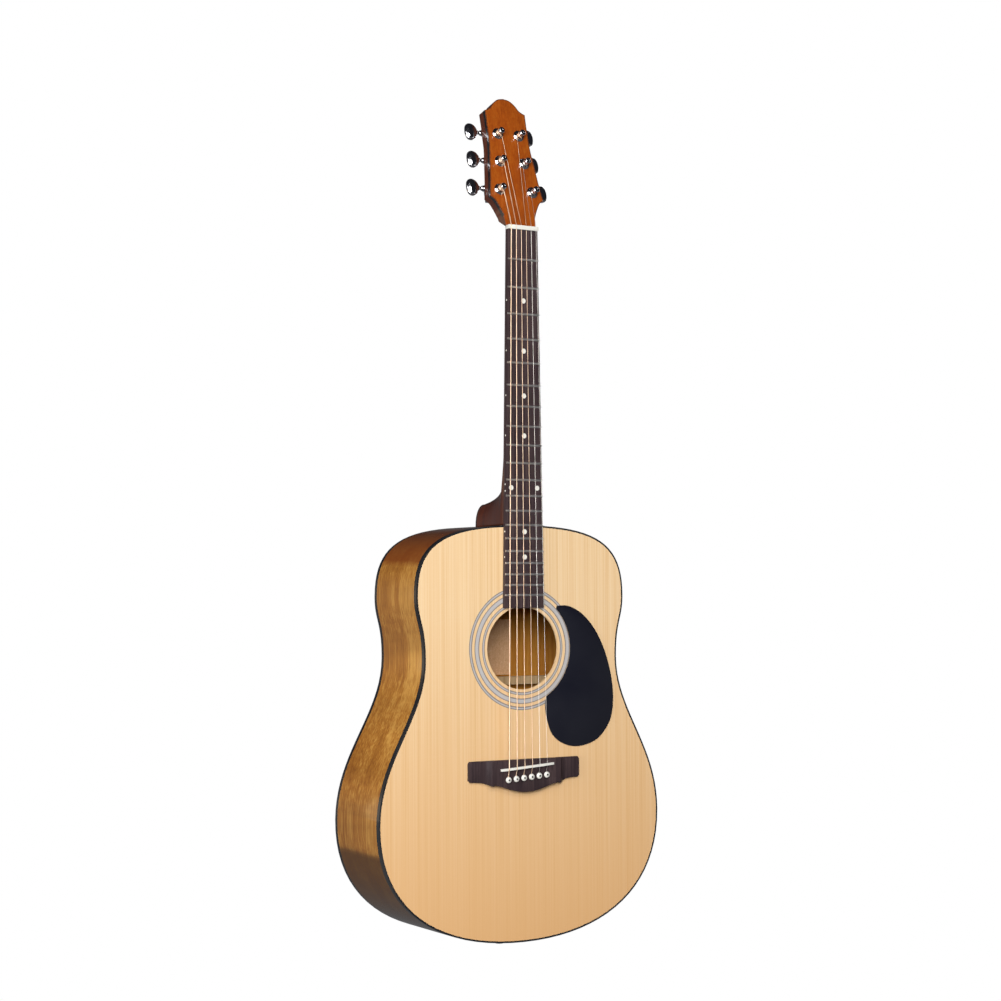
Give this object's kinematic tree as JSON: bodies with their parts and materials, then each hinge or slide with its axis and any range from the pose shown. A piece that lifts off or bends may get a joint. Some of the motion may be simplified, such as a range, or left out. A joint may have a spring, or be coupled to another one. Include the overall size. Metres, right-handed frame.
{
  "type": "acoustic guitar",
  "caption": "Dreadnought steel-string acoustic guitar with a braced spruce-top sound box, fretted neck, slanted saddle, and geared tuners that turn their string posts.",
  "frame": {"origin": "middle of the tail, where the body rests in a floor stand, at half the depth of the body", "axes": "+Z from the tail to the headstock, -Y the way the soundboard faces, +X towards the treble side"},
  "size_m": [0.394, 0.1312, 1.044],
  "materials": {
    "spruce": "glossy lacquer over pale straight-grained spruce",
    "mahogany": "glossy lacquer over golden brown mahogany",
    "neck_wood": "glossy lacquer over dark red-brown mahogany",
    "head_veneer": "glossy lacquer over orange-brown veneer",
    "rosewood": "oiled, satin",
    "inner_wood": "raw",
    "black_plastic": "polished",
    "guard_plastic": "polished",
    "white_plastic": "polished",
    "rosette_inlay": "lacquered over grey and black lines",
    "fret_wire": "polished nickel silver",
    "chrome": "polished",
    "bronze_winding": "round wound",
    "plain_steel": "bare steel",
    "brass_nut": "machined",
    "kraft_paper": "uncoated blank paper"
  },
  "bodies": {
    "guitar": {"soundboard": "spruce", "rosette": "rosette_inlay", "back_plate": "mahogany", "bass_side": "mahogany", "treble_side": "mahogany", "top_binding": "black_plastic", "back_binding": "black_plastic", "neck_block": "inner_wood", "tail_block": "inner_wood", "linings": "inner_wood", "x_brace": "inner_wood", "upper_transverse_brace": "inner_wood", "tone_bars": "inner_wood", "finger_braces": "inner_wood", "back_braces": "inner_wood", "back_center_strip": "inner_wood", "label": "kraft_paper", "bridge_plate": "inner_wood", "bridge": "rosewood", "saddle": "white_plastic", "bridge_pins": "white_plastic", "pickguard": "guard_plastic", "end_pin": "black_plastic", "neck": "neck_wood", "heel_cap": "rosewood", "truss_rod": "plain_steel", "fretboard": "rosewood", "frets": "fret_wire", "position_dots": "white_plastic", "nut": "white_plastic", "headstock": "neck_wood", "headstock_veneer": "head_veneer", "tuner_housings": "chrome", "tuner_bushings": "chrome", "tuner_screws": "chrome", "string_1": "plain_steel", "string_2": "plain_steel", "string_3": "bronze_winding", "string_4": "bronze_winding", "string_5": "bronze_winding", "string_6": "bronze_winding"},
    "key_1": {"tuner_key_1": "chrome"},
    "post_1": {"tuner_post_1": "chrome", "winding_1": "plain_steel"},
    "key_2": {"tuner_key_2": "chrome"},
    "post_2": {"tuner_post_2": "chrome", "winding_2": "plain_steel"},
    "key_3": {"tuner_key_3": "chrome"},
    "post_3": {"tuner_post_3": "chrome", "winding_3": "bronze_winding"},
    "key_4": {"tuner_key_4": "chrome"},
    "post_4": {"tuner_post_4": "chrome", "winding_4": "bronze_winding"},
    "key_5": {"tuner_key_5": "chrome"},
    "post_5": {"tuner_post_5": "chrome", "winding_5": "bronze_winding"},
    "key_6": {"tuner_key_6": "chrome"},
    "post_6": {"tuner_post_6": "chrome", "winding_6": "bronze_winding"},
    "truss_nut": {"truss_rod_nut": "brass_nut"}
  },
  "joints": [
    {"name": "tuner_key_1_turn", "type": "hinge", "parent": "guitar", "child": "key_1", "pos_m": [0.0233, -0.02665, 0.91759], "axis": [1, 0, 0], "continuous": true},
    {"name": "tuner_post_1_turn", "type": "hinge", "parent": "guitar", "child": "post_1", "pos_m": [0.0233, -0.04775, 0.91358], "axis": [0, -0.9703, 0.2419], "continuous": true},
    {"name": "tuner_key_2_turn", "type": "hinge", "parent": "guitar", "child": "key_2", "pos_m": [0.0172, -0.01746, 0.95446], "axis": [1, 0, 0], "continuous": true},
    {"name": "tuner_post_2_turn", "type": "hinge", "parent": "guitar", "child": "post_2", "pos_m": [0.0172, -0.03856, 0.95045], "axis": [0, -0.9703, 0.2419], "continuous": true},
    {"name": "tuner_key_3_turn", "type": "hinge", "parent": "guitar", "child": "key_3", "pos_m": [0.015, -0.00846, 0.99056], "axis": [1, 0, 0], "continuous": true},
    {"name": "tuner_post_3_turn", "type": "hinge", "parent": "guitar", "child": "post_3", "pos_m": [0.015, -0.02956, 0.98654], "axis": [0, -0.9703, 0.2419], "continuous": true},
    {"name": "tuner_key_4_turn", "type": "hinge", "parent": "guitar", "child": "key_4", "pos_m": [-0.015, -0.00846, 0.99056], "axis": [1, 0, 0], "continuous": true},
    {"name": "tuner_post_4_turn", "type": "hinge", "parent": "guitar", "child": "post_4", "pos_m": [-0.015, -0.02956, 0.98654], "axis": [0, -0.9703, 0.2419], "continuous": true},
    {"name": "tuner_key_5_turn", "type": "hinge", "parent": "guitar", "child": "key_5", "pos_m": [-0.0172, -0.01746, 0.95446], "axis": [1, 0, 0], "continuous": true},
    {"name": "tuner_post_5_turn", "type": "hinge", "parent": "guitar", "child": "post_5", "pos_m": [-0.0172, -0.03856, 0.95045], "axis": [0, -0.9703, 0.2419], "continuous": true},
    {"name": "tuner_key_6_turn", "type": "hinge", "parent": "guitar", "child": "key_6", "pos_m": [-0.0233, -0.02665, 0.91759], "axis": [1, 0, 0], "continuous": true},
    {"name": "tuner_post_6_turn", "type": "hinge", "parent": "guitar", "child": "post_6", "pos_m": [-0.0233, -0.04775, 0.91358], "axis": [0, -0.9703, 0.2419], "continuous": true},
    {"name": "truss_rod_nut_turn", "type": "hinge", "parent": "guitar", "child": "truss_nut", "pos_m": [0, -0.0503, 0.445], "axis": [0, 0, 1], "range_deg": [-180, 180]}
  ],
  "couplings": [
    {"joint": "tuner_post_1_turn", "follows": "tuner_key_1_turn", "ratio": 0.071429},
    {"joint": "tuner_post_2_turn", "follows": "tuner_key_2_turn", "ratio": 0.071429},
    {"joint": "tuner_post_3_turn", "follows": "tuner_key_3_turn", "ratio": 0.071429},
    {"joint": "tuner_post_4_turn", "follows": "tuner_key_4_turn", "ratio": -0.071429},
    {"joint": "tuner_post_5_turn", "follows": "tuner_key_5_turn", "ratio": -0.071429},
    {"joint": "tuner_post_6_turn", "follows": "tuner_key_6_turn", "ratio": -0.071429}
  ]
}
